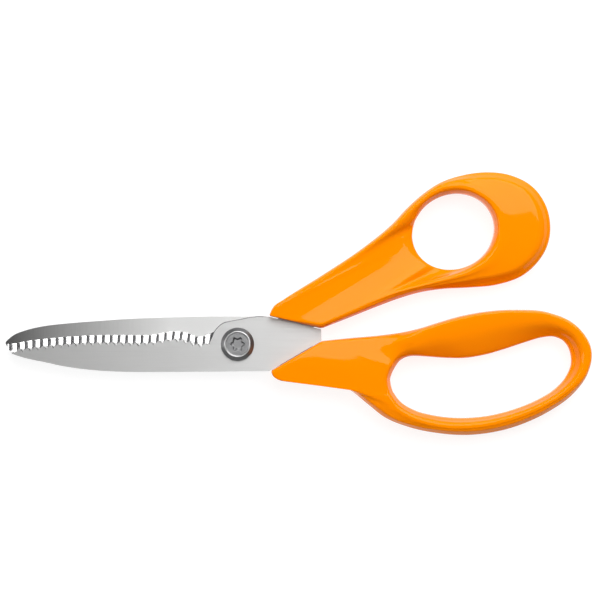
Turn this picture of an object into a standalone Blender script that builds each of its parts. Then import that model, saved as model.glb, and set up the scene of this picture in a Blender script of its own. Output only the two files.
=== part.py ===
"""Pinking shears, 230 mm long: two toothed blades on one pivot, each set in a moulded handle.

The blades lie in the XY plane and their tips point along -X. The origin is on the pivot axis, on the
flat back of the pivot nut, and +Z points out of the side that carries the screw head. The shears are
closed. They open by turning near_blade and thumb_handle about Z, through 0 to 80 degrees.
Lengths below are millimetres, and MM turns them into Blender's metres.
"""

import math

import bmesh
import bpy
import numpy as np

MM = 0.001
GAP = 0.3              # clearance between pieces that fit together

# Heights above the back of the nut
NUT_FLANGE_T = 1.45
PLATE_T = 2.2          # each blade's steel
MESH_Z = 4.8           # the plane where the two rows of teeth meet
PLATE_OFFSET = 0.85    # from that plane to each blade's flat inner face

# Teeth: a sawtooth ground along arcs about the pivot, so it meshes at every opening angle
TEETH = 27
PITCH = 3.03
FIRST_FLANK_R = 10.67  # radius of the steep flank nearest the pivot
FLANK_W = (0.45, 0.75) # plan width of a steep flank, at the pivot and at the tip
TOOTH_DEPTH = 1.2
TOOTH_CLEARANCE = 0.3
ZIGZAG_HEIGHT = 1.3    # how far the cutting edge steps in and out
ZIGZAG_HALF = 0.9      # from a steep flank to the high and low points of the zigzag

# Pivot
SHANK_R = 2.75
HEAD_R = 6.5
HEAD_Z = (8.0, 9.65)
BUSH_R = (3.0, 4.1)
COUNTERBORE_R = 6.3
COUNTERBORE_DEPTH = 1.0
GLIDE_R = (3.1, 8.0)
SPRING_R = (3.1, 5.9)
NUT_FLANGE_R = 6.0
NUT_HEX_R = 4.7
NUT_FACE_T = 1.0       # solid metal behind the blind end of the nut's bore
RIM_R = (4.6, 5.1)     # inner and outer edge of the raised rim on the head
RIM_RISE = 0.35        # from the disc inside the rim to the top of the rim
DRIVER_R = 2.2         # of the six-lobed recess, at its floor
DRIVER_DEPTH = 1.0
DRIVER_TAPER = 0.36    # how much wider the recess is at the disc, as a share
HEAD_CHAMFER = 0.3
SHANK_CHAMFER = 0.5
NUT_CHAMFER = (0.6, 0.5)   # across the flange and up its side
NUT_FIT = 0.1              # from the end of the nut's boss to the far blade's inner face
RING_PLAY = 0.25           # on each side of the glide washer
BUSH_PLAY = (0.1, 0.05)    # below and above the bush
SPRING_T = 0.4             # thickness of the spring washer's metal
SPRING_CONE = 0.35         # how far its inner edge stands above its outer edge
SPRING_LIFT = 0.2          # from the counterbore's floor

# Handles
HANDLE_SPACING = 3.2   # distance between the sections that a handle is lofted through
THUMB_HOLE = {"centre": (84.5, 44.0), "long": 16.35, "short": 14.5, "tilt": 25.0}


def smooth(values, knots, closed=False, corners=()):
    """A function giving the smooth curve through values at knots, with a kink at each corner."""
    values = np.asarray(values, float)
    count = len(values)
    gaps = np.diff(knots)
    last = count if closed else count - 1
    slopes = [(values[(i + 1) % count] - values[i]) / gaps[i] for i in range(last)]

    def tangent(i, side):
        before = (i - 1) % count if closed else i - 1
        if not closed and i in (0, count - 1):
            return slopes[0] if i == 0 else slopes[-1]
        if i in corners:
            return slopes[before] if side < 0 else slopes[i]
        a, b = gaps[before], gaps[i]
        return (slopes[before] * b + slopes[i] * a) / (a + b)

    def at(knot):
        i = min(int(np.searchsorted(knots, knot, side="right")) - 1, last - 1)
        i = max(i, 0)
        j = (i + 1) % count
        d = gaps[i]
        u = (knot - knots[i]) / d
        start = tangent(i, 1) * d
        end = tangent(j, -1) * d
        return (
            values[i] * (2 * u**3 - 3 * u**2 + 1)
            + start * (u**3 - 2 * u**2 + u)
            + values[j] * (3 * u**2 - 2 * u**3)
            + end * (u**3 - u**2)
        )

    return at


def chord_knots(points, closed=False):
    points = np.asarray(points, float)
    ends = np.roll(points, -1, axis=0) if closed else points[1:]
    steps = np.linalg.norm(ends - points[: len(ends)], axis=1)
    return np.concatenate([[0.0], np.cumsum(steps)])


def spline(points, step):
    """Points about every step along the smooth open curve through the given points."""
    knots = chord_knots(points)
    curve = smooth(points, knots)
    found = []
    for start, end in zip(knots[:-1], knots[1:]):
        count = max(1, round((end - start) / step))
        found += [tuple(curve(start + (end - start) * i / count)) for i in range(count)]
    return found + [tuple(points[-1])]


def mesh_object(name, vertices, faces, material=None):
    """A closed mesh whose vertices are given in millimetres."""
    mesh = bpy.data.meshes.new(name)
    mesh.from_pydata([tuple(c * MM for c in v) for v in vertices], [], faces)
    shaped = bmesh.new()
    shaped.from_mesh(mesh)
    bmesh.ops.recalc_face_normals(shaped, faces=shaped.faces)
    shaped.to_mesh(mesh)
    shaped.free()
    mesh.shade_smooth()
    mesh.set_sharp_from_angle(angle=math.radians(35))
    made = bpy.data.objects.new(name, mesh)
    bpy.context.scene.collection.objects.link(made)
    if material:
        mesh.materials.append(material)
    return made


def principled(name, color, roughness, metallic):
    made = bpy.data.materials.new(name)
    made.use_nodes = True
    shader = made.node_tree.nodes["Principled BSDF"]
    shader.inputs["Base Color"].default_value = (*color, 1.0)
    shader.inputs["Roughness"].default_value = roughness
    shader.inputs["Metallic"].default_value = metallic
    return made


def prism(name, outline, low, high, material=None, widen=1.0):
    """The outline, counter-clockwise from above, raised from low to high and widened by a factor."""
    count = len(outline)
    vertices = [(x, y, low) for x, y in outline]
    vertices += [(x * widen, y * widen, high) for x, y in outline]
    faces = [list(range(count)), list(range(count, 2 * count))]
    faces += [[i, (i + 1) % count, count + (i + 1) % count, count + i] for i in range(count)]
    return mesh_object(name, vertices, faces, material)


def polar_point(radius, angle):
    return (radius * math.cos(angle), radius * math.sin(angle))


def turned(name, profile, material=None, segments=48):
    """A solid turned about the pivot axis, from the (radius, height) points of its section.

    A section that starts and ends on the axis is closed by a flat disc at each end.
    """
    on_axis = profile[0][0] == 0
    rings = profile[1:-1] if on_axis else profile
    vertices = []
    for radius, height in rings:
        for i in range(segments):
            x, y = polar_point(radius, 2 * math.pi * i / segments)
            vertices.append((x, y, height))
    rows = [list(range(k * segments, (k + 1) * segments)) for k in range(len(rings))]
    faces = []
    following = rows[1:] if on_axis else rows[1:] + rows[:1]
    for row, after in zip(rows, following):
        for i in range(segments):
            j = (i + 1) % segments
            faces.append([row[i], row[j], after[j], after[i]])
    if on_axis:
        faces += [rows[0], rows[-1]]
    return mesh_object(name, vertices, faces, material)


def combine(target, tool, operation="DIFFERENCE"):
    tool.hide_render = True
    tool.display_type = "WIRE"
    modifier = target.modifiers.new(tool.name, "BOOLEAN")
    modifier.operation = operation
    modifier.object = tool


def polygon(radius, sides, turn=0.0):
    angles = [2 * math.pi * i / sides + turn for i in range(sides)]
    return [polar_point(radius, angle) for angle in angles]


def grown(outline, distance):
    """The outline moved outwards by distance, for a counter-clockwise outline."""
    points = np.array(outline, float)
    along = np.roll(points, -1, axis=0) - points
    along /= np.linalg.norm(along, axis=1)[:, None]
    normals = np.stack([along[:, 1], -along[:, 0]], axis=1)
    before = np.roll(normals, 1, axis=0)
    shift = (normals + before) / (1 + (normals * before).sum(axis=1))[:, None]
    return [tuple(p) for p in points + shift * distance]


# --- Teeth ------------------------------------------------------------------------------------------


def flank_r(tooth):
    return FIRST_FLANK_R + PITCH * tooth


def flank_half(radius):
    share = (radius - FIRST_FLANK_R) / (PITCH * (TEETH - 1))
    return (FLANK_W[0] + (FLANK_W[1] - FLANK_W[0]) * share) / 2


def tooth_corners(kind):
    """(radius, value) at each corner of the sawtooth, or of the zigzag of the cutting edge."""
    corners = []
    for tooth in range(-1, TEETH + 1):
        radius = flank_r(tooth)
        half = flank_half(radius) if kind == "sawtooth" else ZIGZAG_HALF
        ends = (-0.5, 0.5) if kind == "sawtooth" else (1.0, 0.0)
        corners += [(radius - half, ends[0]), (radius + half, ends[1])]
    return corners


def tooth_value(kind, radius):
    radii, values = zip(*tooth_corners(kind))
    return float(np.interp(radius, radii, values))


def tooth_stations(first, last):
    """Every radius between first and last where a row of teeth has a corner."""
    radii = [r for kind in ("sawtooth", "zigzag") for r, _ in tooth_corners(kind)]
    return [first] + sorted(r for r in radii if first + 0.05 < r < last - 0.05) + [last]


def polar_line(points):
    """The angle above -X, as a function of radius, of the smooth line through the points."""
    polar = sorted((math.hypot(x, y), math.atan2(y, -x)) for x, y in points)
    curve = smooth([angle for _, angle in polar], [radius for radius, _ in polar])
    return lambda radius: float(curve(radius))


def at_polar(radius, angle):
    return (-radius * math.cos(angle), radius * math.sin(angle))


# --- Blades -----------------------------------------------------------------------------------------
# Both blades are described as the near one lies: toothed edge at +Y, outer face at +Z. The far blade is
# then turned half a turn about X.

TOOTH_ROWS = 4         # points across a row of teeth, so that its grooves follow their arcs

NEAR_TEETH = {
    "edge": [
        (-88.5, -3.6), (-84.4, -3.1), (-78.3, -2.35), (-69.1, -1.3), (-57.0, -0.6), (-47.8, -0.55),
        (-38.0, -0.7), (-32.8, -0.3), (-28.0, 0.6), (-24.2, 0.85), (-20.3, 0.2), (-17.0, -0.95),
        (-14.0, -1.2), (-10.9, -0.3),
    ],
    "root": [
        (-88.5, -3.3), (-86.0, -4.1), (-83.0, -4.8), (-78.0, -5.7), (-69.0, -6.9), (-57.0, -6.8),
        (-38.0, -6.8), (-26.0, -5.6), (-20.0, -6.2), (-15.0, -7.2), (-9.0, -6.0),
    ],
    "span": (10.95, 88.3),
    "zigzag_until": 90.0,
    "sign": 1,
}
FAR_TEETH = {
    "edge": [
        (-90.2, 1.95), (-89.2, 2.8), (-88.0, 3.4), (-84.0, 3.5), (-78.0, 3.1), (-69.0, 2.3),
        (-57.0, 1.7), (-47.0, 1.7), (-38.7, 1.8), (-32.8, 1.4), (-26.0, 0.4), (-20.3, 0.9),
        (-15.0, 2.3), (-11.5, 2.4), (-10.2, 2.3),
    ],
    "root": [
        (-90.3, 0.0), (-86.7, -0.35), (-83.7, -0.94), (-77.6, -1.77), (-71.4, -2.4), (-65.4, -2.87),
        (-59.2, -3.26), (-53.2, -3.45), (-45.0, -3.45), (-38.0, -3.38), (-34.3, -3.45),
        (-28.9, -4.36), (-25.5, -4.83), (-23.0, -4.83), (-19.6, -4.16), (-16.6, -2.95),
        (-14.4, -2.75), (-11.1, -4.0), (-9.46, -4.79),
    ],
    "span": (10.6, 90.25),
    "zigzag_until": 88.0,
    "sign": -1,
}

NEAR_SPINE = [
    (-88.3, -3.75), (-87.1, -4.2), (-83.2, -5.4), (-75.7, -7.0), (-68.2, -8.6), (-58.2, -10.0),
    (-48.2, -10.7), (-38.2, -10.9), (-14.7, -10.8), (12.2, -10.55),
]
FAR_SPINE = [
    (-91.33, -0.35), (-90.9, -1.15), (-90.15, -1.88), (-88.2, -3.4), (-83.2, -5.4), (-75.7, -7.07),
    (-68.2, -7.93), (-53.2, -9.1), (-43.1, -9.8), (-33.2, -10.2), (-14.7, -10.7), (11.4, -10.75),
]

NEAR_SHOULDER = [
    (12.0, 10.72), (8.05, 10.95), (5.26, 10.64), (-0.16, 9.58), (-3.3, 9.03), (-6.0, 8.24),
    (-8.24, 6.24), (-9.3, 4.75), (-10.3, 2.4), (-10.85, 0.6),
]
FAR_SHOULDER = [
    (12.6, 10.2), (6.0, 10.4), (0.0, 9.7), (-3.5, 9.1), (-6.5, 8.0), (-8.6, 6.3), (-9.7, 4.9),
]

NEAR_TANG = [
    (29.6, 6.5), (36.5, 11.5), (50.5, 19.0), (52.0, 21.5), (50.5, 24.3), (46.5, 25.2), (33.0, 20.5),
    (19.0, 12.8), (15.6, 9.85),
]
FAR_TANG = [
    (28.6, 0.88), (33.0, 2.9), (46.0, 3.2), (49.0, 6.0), (49.0, 9.5), (46.0, 12.3), (30.0, 11.8),
    (19.5, 10.7), (16.1, 8.15),
]
# in front of each handle, where its pocket opens: the corners that the pocket's cutter adds
NEAR_MOUTH = [(17.0, 2.0), (24.0, -2.0)]
FAR_MOUTH = [(11.0, 2.0), (26.0, -6.0)]
NEAR_HEEL = [(12.9, -9.95), (32.7, 1.6), (32.7, 5.75)]  # along the other handle's front, up to its own
FAR_HEEL = [(12.1, -10.55), (32.7, -5.6), (32.7, -1.5)]


def blade(name, teeth, spine, heel, tang, shoulder, material):
    """A flat plate whose toothed edge carries a row of teeth on the inner face."""
    inner = MESH_Z + PLATE_OFFSET
    outer = inner + PLATE_T
    edge = polar_line(teeth["edge"])
    root = polar_line(teeth["root"])
    radii = tooth_stations(*teeth["span"])
    vertices = []

    def add(x, y, z):
        vertices.append((x, y, z))
        return len(vertices) - 1

    shares = [i / (TOOTH_ROWS - 1) for i in range(TOOTH_ROWS)]
    edge_top = []
    rows = []
    root_inner = []
    for radius in radii:
        fade = min(1.0, max(0.0, (teeth["zigzag_until"] - radius) / PITCH))
        zigzag = ZIGZAG_HEIGHT * fade * tooth_value("zigzag", radius)
        start = edge(radius) + zigzag / radius
        end = root(radius)
        height = teeth["sign"] * TOOTH_DEPTH * tooth_value("sawtooth", radius)
        tooth_z = MESH_Z + height + TOOTH_CLEARANCE / 2
        edge_top.append(add(*at_polar(radius, start), outer))
        rows.append([add(*at_polar(radius, start + (end - start) * s), tooth_z) for s in shares])
        root_inner.append(add(*at_polar(radius, end), inner))
    # the inner face's corner points above the first and the last groove
    first_inner = [add(*vertices[v][:2], inner) for v in rows[0][:-1]] + [root_inner[0]]
    last_inner = [add(*vertices[v][:2], inner) for v in rows[-1][:-1]] + [root_inner[-1]]

    rest = spline(spine, 6.0) + heel + tang + shoulder
    rest_top = [add(x, y, outer) for x, y in rest]
    rest_inner = [add(x, y, inner) for x, y in rest]

    faces = [edge_top + rest_top]
    faces.append(first_inner[:-1] + root_inner + last_inner[-2::-1] + rest_inner)
    for i in range(len(radii) - 1):
        wall = [edge_top[i], edge_top[i + 1], rows[i + 1][0], rows[i][0]]
        if i == 0:
            wall.append(first_inner[0])
        if i == len(radii) - 2:
            wall.insert(2, last_inner[0])
        faces.append(wall)
        for j in range(TOOTH_ROWS - 1):
            a, b, c, d = rows[i][j], rows[i + 1][j], rows[i + 1][j + 1], rows[i][j + 1]
            faces += [[a, b, c], [a, c, d]]
        faces.append([rows[i][-1], rows[i + 1][-1], root_inner[i + 1], root_inner[i]])
    for row, above in ((rows[0], first_inner), (rows[-1], last_inner)):
        for j in range(TOOTH_ROWS - 1):
            faces.append([row[j], row[j + 1], above[j + 1], above[j]])
    top = [edge_top[-1]] + rest_top + [edge_top[0]]
    bottom = [last_inner[0]] + rest_inner + [first_inner[0]]
    for i in range(len(top) - 1):
        faces.append([top[i], top[i + 1], bottom[i + 1], bottom[i]])
    if teeth["sign"] < 0:
        vertices = [(x, -y, 2 * MESH_Z - z) for x, y, z in vertices]
    return mesh_object(name, vertices, faces, material)


def make_blades(steel_front, steel_back):
    near = blade("near_blade", NEAR_TEETH, NEAR_SPINE, NEAR_HEEL, NEAR_TANG, NEAR_SHOULDER, steel_front)
    far = blade("far_blade", FAR_TEETH, FAR_SPINE, FAR_HEEL, FAR_TANG, FAR_SHOULDER, steel_back)
    near_inner = MESH_Z + PLATE_OFFSET
    near_outer = near_inner + PLATE_T
    floor = near_outer - COUNTERBORE_DEPTH
    bore = BUSH_R[1] + GAP
    bore_profile = [
        (0, near_inner - 1), (bore, near_inner - 1), (bore, floor), (COUNTERBORE_R, floor),
        (COUNTERBORE_R, near_outer + 1), (0, near_outer + 1),
    ]
    combine(near, turned("near_bore", bore_profile))
    hexagon = polygon(NUT_HEX_R + GAP, 6)
    combine(far, prism("far_bore", hexagon, 0.0, MESH_Z))
    return near, far


# --- Pivot pieces -----------------------------------------------------------------------------------


def six_lobe(radius, steps=8):
    """A rounded six-pointed driver recess."""
    points = []
    for i in range(6 * steps):
        angle = 2 * math.pi * i / (6 * steps)
        points.append(polar_point(radius * (0.86 + 0.14 * math.cos(6 * angle)), angle))
    return points


def make_screw(material):
    under, top = HEAD_Z
    end = NUT_FLANGE_T
    disc = top - RIM_RISE
    profile = [
        (0, end), (SHANK_R - SHANK_CHAMFER, end), (SHANK_R, end + SHANK_CHAMFER), (SHANK_R, under),
        (HEAD_R - HEAD_CHAMFER, under), (HEAD_R, under + HEAD_CHAMFER), (RIM_R[1] + 0.05, top - 0.08),
        (RIM_R[1] - 0.05, top), (RIM_R[0] + 0.1, top), (RIM_R[0] - 0.2, disc), (0, disc),
    ]
    screw = turned("pivot_screw", profile, material)
    rise = DRIVER_DEPTH + RIM_RISE + 1
    widen = 1 + DRIVER_TAPER * rise / DRIVER_DEPTH
    recess = prism("driver_recess", six_lobe(DRIVER_R), disc - DRIVER_DEPTH, top + 1, widen=widen)
    combine(screw, recess)


def make_nut(material):
    bore = SHANK_R + GAP
    top = MESH_Z - PLATE_OFFSET - NUT_FIT
    across, up = NUT_CHAMFER
    flange = [
        (0, 0), (NUT_FLANGE_R - across, 0), (NUT_FLANGE_R, up), (NUT_FLANGE_R, NUT_FLANGE_T),
        (0, NUT_FLANGE_T),
    ]
    nut = turned("pivot_nut", flange, material)
    boss = prism("nut_boss", polygon(NUT_HEX_R, 6), NUT_FLANGE_T - 0.5, top)
    combine(nut, boss, "UNION")
    floor = NUT_FACE_T
    combine(nut, turned("nut_bore", [(0, floor), (bore, floor), (bore, top + 1), (0, top + 1)]))


def make_rings(bush_metal, glide_metal, spring_metal):
    near_inner = MESH_Z + PLATE_OFFSET
    floor = near_inner + PLATE_T - COUNTERBORE_DEPTH
    inner, outer = BUSH_R
    low, high = near_inner + BUSH_PLAY[0], floor - BUSH_PLAY[1]
    turned("pivot_bush", [(inner, low), (outer, low), (outer, high), (inner, high)], bush_metal)
    inner, outer = GLIDE_R
    low, high = MESH_Z - PLATE_OFFSET + RING_PLAY, near_inner - RING_PLAY
    turned("glide_washer", [(inner, low), (outer, low), (outer, high), (inner, high)], glide_metal)
    inner, outer = SPRING_R
    low = floor + SPRING_LIFT
    section = [
        (inner, low + SPRING_CONE), (outer, low), (outer, low + SPRING_T),
        (inner, low + SPRING_T + SPRING_CONE),
    ]
    turned("spring_washer", section, spring_metal)


# --- Handles ----------------------------------------------------------------------------------------
# A handle is lofted around its hole. Each station gives the edge of the hole, the crest of the surface
# and the outer edge. Its shape says how the surface runs between them, measured from the middle of the
# handle: (inner rim inset, inner rim height, inner face height, bulge, crest height, outer face
# height, outer rim inset, outer rim height).

SHAPES = {
    "bulb": (0.7, 4.6, 6.1, 0.0, 6.8, 5.35, 1.6, 2.7),
    "bridge": (0.9, 4.0, 5.4, 0.0, 6.2, 5.6, 0.7, 4.2),
    "shank": (1.6, 2.6, 4.5, 0.1, 5.6, 5.2, 0.5, 4.2),
    "collar": (1.6, 2.6, 4.5, 0.4, 5.9, 5.8, 0.25, 5.4),
    "crest": (1.6, 2.6, 4.6, 0.45, 6.7, 6.2, 0.6, 4.6),
    "scoop": (1.0, 1.2, 2.7, 0.1, 6.6, 5.7, 0.9, 4.0),
    "under": (0.8, 3.6, 5.3, 0.0, 6.7, 5.6, 1.4, 3.4),
    "band": (1.5, 2.6, 5.2, 0.3, 6.5, 6.3, 0.5, 5.2),
    "ring": (1.2, 3.6, 5.7, 0.0, 6.6, 5.9, 1.2, 4.0),
    "brow": (0.9, 4.2, 6.0, 0.0, 6.5, 5.4, 0.3, 4.9),
    "slope": (0.9, 4.0, 5.6, 0.0, 6.0, 5.25, 0.6, 4.3),
    "mouth": (0.9, 4.2, 6.0, 0.0, 6.5, 6.25, 0.25, 5.8),
    "plate": (0.9, 4.2, 6.0, 0.0, 6.6, 6.0, 0.7, 5.0),
    "flare": (0.9, 4.0, 5.9, 0.0, 6.6, 5.4, 1.3, 3.4),
}


def thumb_edge(degrees):
    """A point on the edge of the oval thumb hole, at an angle about its centre."""
    angle = math.radians(degrees - THUMB_HOLE["tilt"])
    reach = 1 / math.hypot(math.cos(angle) / THUMB_HOLE["long"], math.sin(angle) / THUMB_HOLE["short"])
    x, y = polar_point(reach, math.radians(degrees))
    return (THUMB_HOLE["centre"][0] + x, THUMB_HOLE["centre"][1] + y)


# (edge of the hole, crest, outer edge, shape), counter-clockwise from the right-hand end
THUMB_STATIONS = [
    (thumb_edge(0), (102.7, 44.3), (122.6, 44.5), "bulb"),
    (thumb_edge(18), (102.1, 49.8), (121.0, 54.0), "bulb"),
    (thumb_edge(36), (99.6, 54.6), (115.5, 61.8), "bulb"),
    (thumb_edge(54), (95.6, 58.1), (106.3, 66.4), "bulb"),
    (thumb_edge(72), (90.2, 60.9), (96.5, 67.4), "bulb"),
    (thumb_edge(90), (84.5, 61.8), (87.3, 66.0), "bulb"),
    (thumb_edge(108), (79.2, 60.8), (79.6, 63.4), "bridge"),
    (thumb_edge(126), (74.0, 57.9), (73.0, 59.2), "bridge"),
    (thumb_edge(144), (67.6, 52.4), (66.4, 53.4), "bridge"),
    (thumb_edge(160), (61.1, 45.6), (60.1, 46.7), "bridge"),
    (thumb_edge(172), (49.2, 36.1), (48.3, 37.2), "shank"),
    (thumb_edge(184), (33.8, 25.7), (33.0, 27.0), "shank"),
    (thumb_edge(192), (18.8, 15.9), (17.7, 17.4), "collar"),
    (thumb_edge(196), (15.7, 14.0), (14.1, 14.9), "collar"),
    (thumb_edge(199), (14.6, 12.2), (12.15, 11.05), "collar"),
    (thumb_edge(207), (23.1, 10.0), (22.5, 8.55), "collar"),
    (thumb_edge(215), (32.4, 7.9), (32.9, 6.05), "crest"),
    (thumb_edge(224), (42.5, 12.2), (43.0, 10.0), "crest"),
    (thumb_edge(234), (52.2, 16.7), (53.0, 14.0), "crest"),
    (thumb_edge(245), (61.7, 20.4), (62.3, 17.5), "scoop"),
    (thumb_edge(257), (71.2, 22.9), (71.0, 20.1), "scoop"),
    (thumb_edge(270), (80.7, 25.4), (80.0, 21.5), "scoop"),
    (thumb_edge(285), (89.6, 28.3), (90.7, 22.1), "under"),
    (thumb_edge(302), (96.8, 32.2), (101.5, 23.2), "bulb"),
    (thumb_edge(320), (100.8, 37.0), (112.0, 27.0), "bulb"),
    (thumb_edge(340), (102.4, 40.8), (120.2, 35.8), "bulb"),
]
THUMB_CORNERS = (14, 16)

FINGER_STATIONS = [
    ((130.8, -6.7), (136.9, -5.5), (138.55, -4.9), "band"),
    ((129.9, -1.9), (136.2, -0.8), (137.8, 0.0), "band"),
    ((127.9, 1.0), (133.9, 3.8), (135.3, 4.3), "band"),
    ((124.6, 2.7), (129.6, 7.6), (130.7, 8.7), "band"),
    ((119.5, 2.6), (121.0, 11.3), (121.0, 12.6), "band"),
    ((111.9, 0.4), (109.6, 12.3), (109.5, 13.5), "band"),
    ((104.0, -2.2), (98.1, 11.6), (98.0, 12.9), "band"),
    ((96.5, -4.3), (87.6, 9.7), (87.3, 11.0), "band"),
    ((88.5, -5.5), (78.6, 7.1), (78.2, 8.4), "band"),
    ((80.5, -5.4), (72.3, 4.9), (71.5, 6.3), "band"),
    ((73.5, -4.9), (66.4, 2.2), (64.8, 4.7), "ring"),
    ((67.6, -4.8), (61.8, -0.8), (55.3, 3.4), "slope"),
    ((63.9, -6.3), (59.3, -4.6), (44.0, 2.4), "slope"),
    ((61.9, -8.8), (57.9, -8.0), (32.9, 1.25), "brow"),
    ((60.3, -12.0), (56.8, -11.8), (22.9, -4.6), "mouth"),
    ((59.9, -15.0), (56.6, -15.2), (12.95, -10.4), "mouth"),
    ((60.2, -16.6), (57.0, -17.2), (13.8, -12.5), "mouth"),
    ((60.6, -17.9), (57.6, -18.6), (15.6, -13.8), "mouth"),
    ((61.4, -19.4), (58.6, -20.6), (27.0, -14.45), "plate"),
    ((62.4, -20.9), (59.9, -22.6), (36.0, -15.4), "plate"),
    ((64.0, -22.7), (61.6, -24.7), (43.5, -17.9), "flare"),
    ((66.5, -24.5), (64.5, -27.0), (50.6, -23.3), "flare"),
    ((70.5, -26.4), (69.3, -29.3), (57.5, -28.7), "flare"),
    ((76.0, -27.8), (75.5, -31.1), (67.1, -32.6), "flare"),
    ((83.0, -28.8), (83.0, -32.0), (78.0, -34.9), "ring"),
    ((91.0, -28.9), (91.5, -31.8), (89.3, -35.7), "ring"),
    ((100.1, -27.8), (101.0, -30.3), (101.5, -34.3), "ring"),
    ((109.5, -25.2), (110.5, -27.4), (112.5, -31.0), "ring"),
    ((117.5, -21.9), (119.5, -23.5), (122.3, -26.2), "ring"),
    ((124.2, -17.8), (127.7, -18.3), (130.8, -20.1), "ring"),
    ((128.6, -13.0), (133.6, -12.4), (136.2, -13.1), "band"),
]
FINGER_CORNERS = (13, 15)


def section_frame(hole, crest, outer, shape):
    """Control points of the upper half of a section, from the hole's edge to the outer edge."""
    hole, crest, outer = (np.array(p) for p in (hole, crest, outer))
    inset_in, rim_in, face_in, bulge, top, face_out, inset_out, rim_out = shape
    inward = np.linalg.norm(crest - hole)
    outward = np.linalg.norm(outer - crest)

    def inside(distance, z):
        x, y = hole + (crest - hole) * distance / inward
        return (x, y, z)

    def outside(distance, z):
        x, y = crest + (outer - crest) * distance / outward
        return (x, y, z)

    face = min(8.0, 0.45 * inward)
    shoulder = min(1.3, 0.22 * inward)
    middle = (face + inward - shoulder) / 2
    edge = min(inset_out, 0.2 * outward)
    brow = outward - 2.2 * edge
    return [
        inside(0, 0),
        inside(0, 0.6 * rim_in),
        inside(min(inset_in, 0.3 * inward), rim_in),
        inside(face, face_in),
        inside(middle, (face_in + top) / 2 + bulge),
        inside(inward - shoulder, top),
        outside(min(1.3, 0.22 * outward), top),
        outside(0.5 * brow, (face_out + top) / 2),
        outside(0.8 * brow, 0.8 * face_out + 0.2 * top),
        outside(brow, face_out),
        outside(outward - edge, rim_out),
        outside(outward, 0.75 * rim_out),
        outside(outward, 0),
    ]


def rounded(control):
    """One point for each control point of a closed cubic B-spline."""
    control = np.array(control)
    return (np.roll(control, 1, axis=0) + 4 * control + np.roll(control, -1, axis=0)) / 6


def handle(name, stations, corners, material):
    """The loft around the hole through all the stations, the same on its back as on its front."""
    rows = [[*hole, *crest, *outer, *SHAPES[shape]] for hole, crest, outer, shape in stations]
    rows = np.array(rows)
    knots = (chord_knots(rows[:, 4:6], True) + chord_knots(rows[:, 0:2], True)) / 2
    edge = smooth(rows[:, 0:2], knots, closed=True)
    rest = smooth(rows[:, 2:], knots, closed=True, corners=corners)
    vertices = []
    sections = 0
    for start, end in zip(knots[:-1], knots[1:]):
        count = max(1, round((end - start) / HANDLE_SPACING))
        for i in range(count):
            knot = start + (end - start) * i / count
            values = rest(knot)
            upper = section_frame(edge(knot), values[0:2], values[2:4], values[4:])
            lower = [(x, y, -z) for x, y, z in reversed(upper[1:-1])]
            vertices += [(x, y, z + MESH_Z) for x, y, z in rounded(upper + lower)]
            sections += 1
    size = len(vertices) // sections
    faces = []
    for i in range(sections):
        for j in range(size):
            a, b = i * size, (i + 1) % sections * size
            k = (j + 1) % size
            faces.append([a + j, a + k, b + k, b + j])
    return mesh_object(name, vertices, faces, material)


def make_handles(plastic):
    inner = MESH_Z + PLATE_OFFSET
    near_pocket = grown(NEAR_TANG + NEAR_MOUTH, GAP)
    thumb = handle("thumb_handle", THUMB_STATIONS, THUMB_CORNERS, plastic)
    combine(thumb, prism("thumb_pocket", near_pocket, inner - GAP, inner + PLATE_T + GAP))
    far_pocket = [(x, -y) for x, y in reversed(grown(FAR_TANG + FAR_MOUTH, GAP))]
    back = 2 * MESH_Z - inner
    finger = handle("finger_handle", FINGER_STATIONS, FINGER_CORNERS, plastic)
    combine(finger, prism("finger_pocket", far_pocket, back - PLATE_T - GAP, back + GAP))
    return thumb, finger


def hinge(name, moving):
    """An empty on the pivot axis that carries the pieces that turn about it."""
    axis = bpy.data.objects.new(name, None)
    axis.empty_display_size = 10 * MM
    bpy.context.scene.collection.objects.link(axis)
    for piece in moving:
        piece.parent = axis


def main():
    for old in list(bpy.data.objects):
        bpy.data.objects.remove(old, do_unlink=True)
    plastic = principled("orange_plastic", (0.95, 0.27, 0.01), 0.18, 0.0)
    brushed = principled("brushed_steel", (0.72, 0.72, 0.73), 0.32, 1.0)
    ground = principled("ground_steel", (0.66, 0.66, 0.68), 0.38, 1.0)
    fastener = principled("screw_steel", (0.45, 0.45, 0.47), 0.3, 1.0)
    bearing = principled("bearing_bronze", (0.62, 0.47, 0.25), 0.35, 1.0)
    nylon = principled("glide_nylon", (0.82, 0.82, 0.78), 0.45, 0.0)
    near, far = make_blades(brushed, ground)
    thumb, finger = make_handles(plastic)
    make_screw(fastener)
    make_nut(fastener)
    make_rings(bearing, nylon, fastener)
    bush = bpy.data.objects["pivot_bush"]
    hinge("blade_pivot", [near, thumb, bush])


main()
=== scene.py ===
"""Pinking shears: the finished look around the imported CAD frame.

The shears lie flat, closed, and are seen from straight above. Lengths are millimetres, and MM turns
them into metres. Only the stage, its lights and its camera are in metres throughout.
"""

import math

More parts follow.
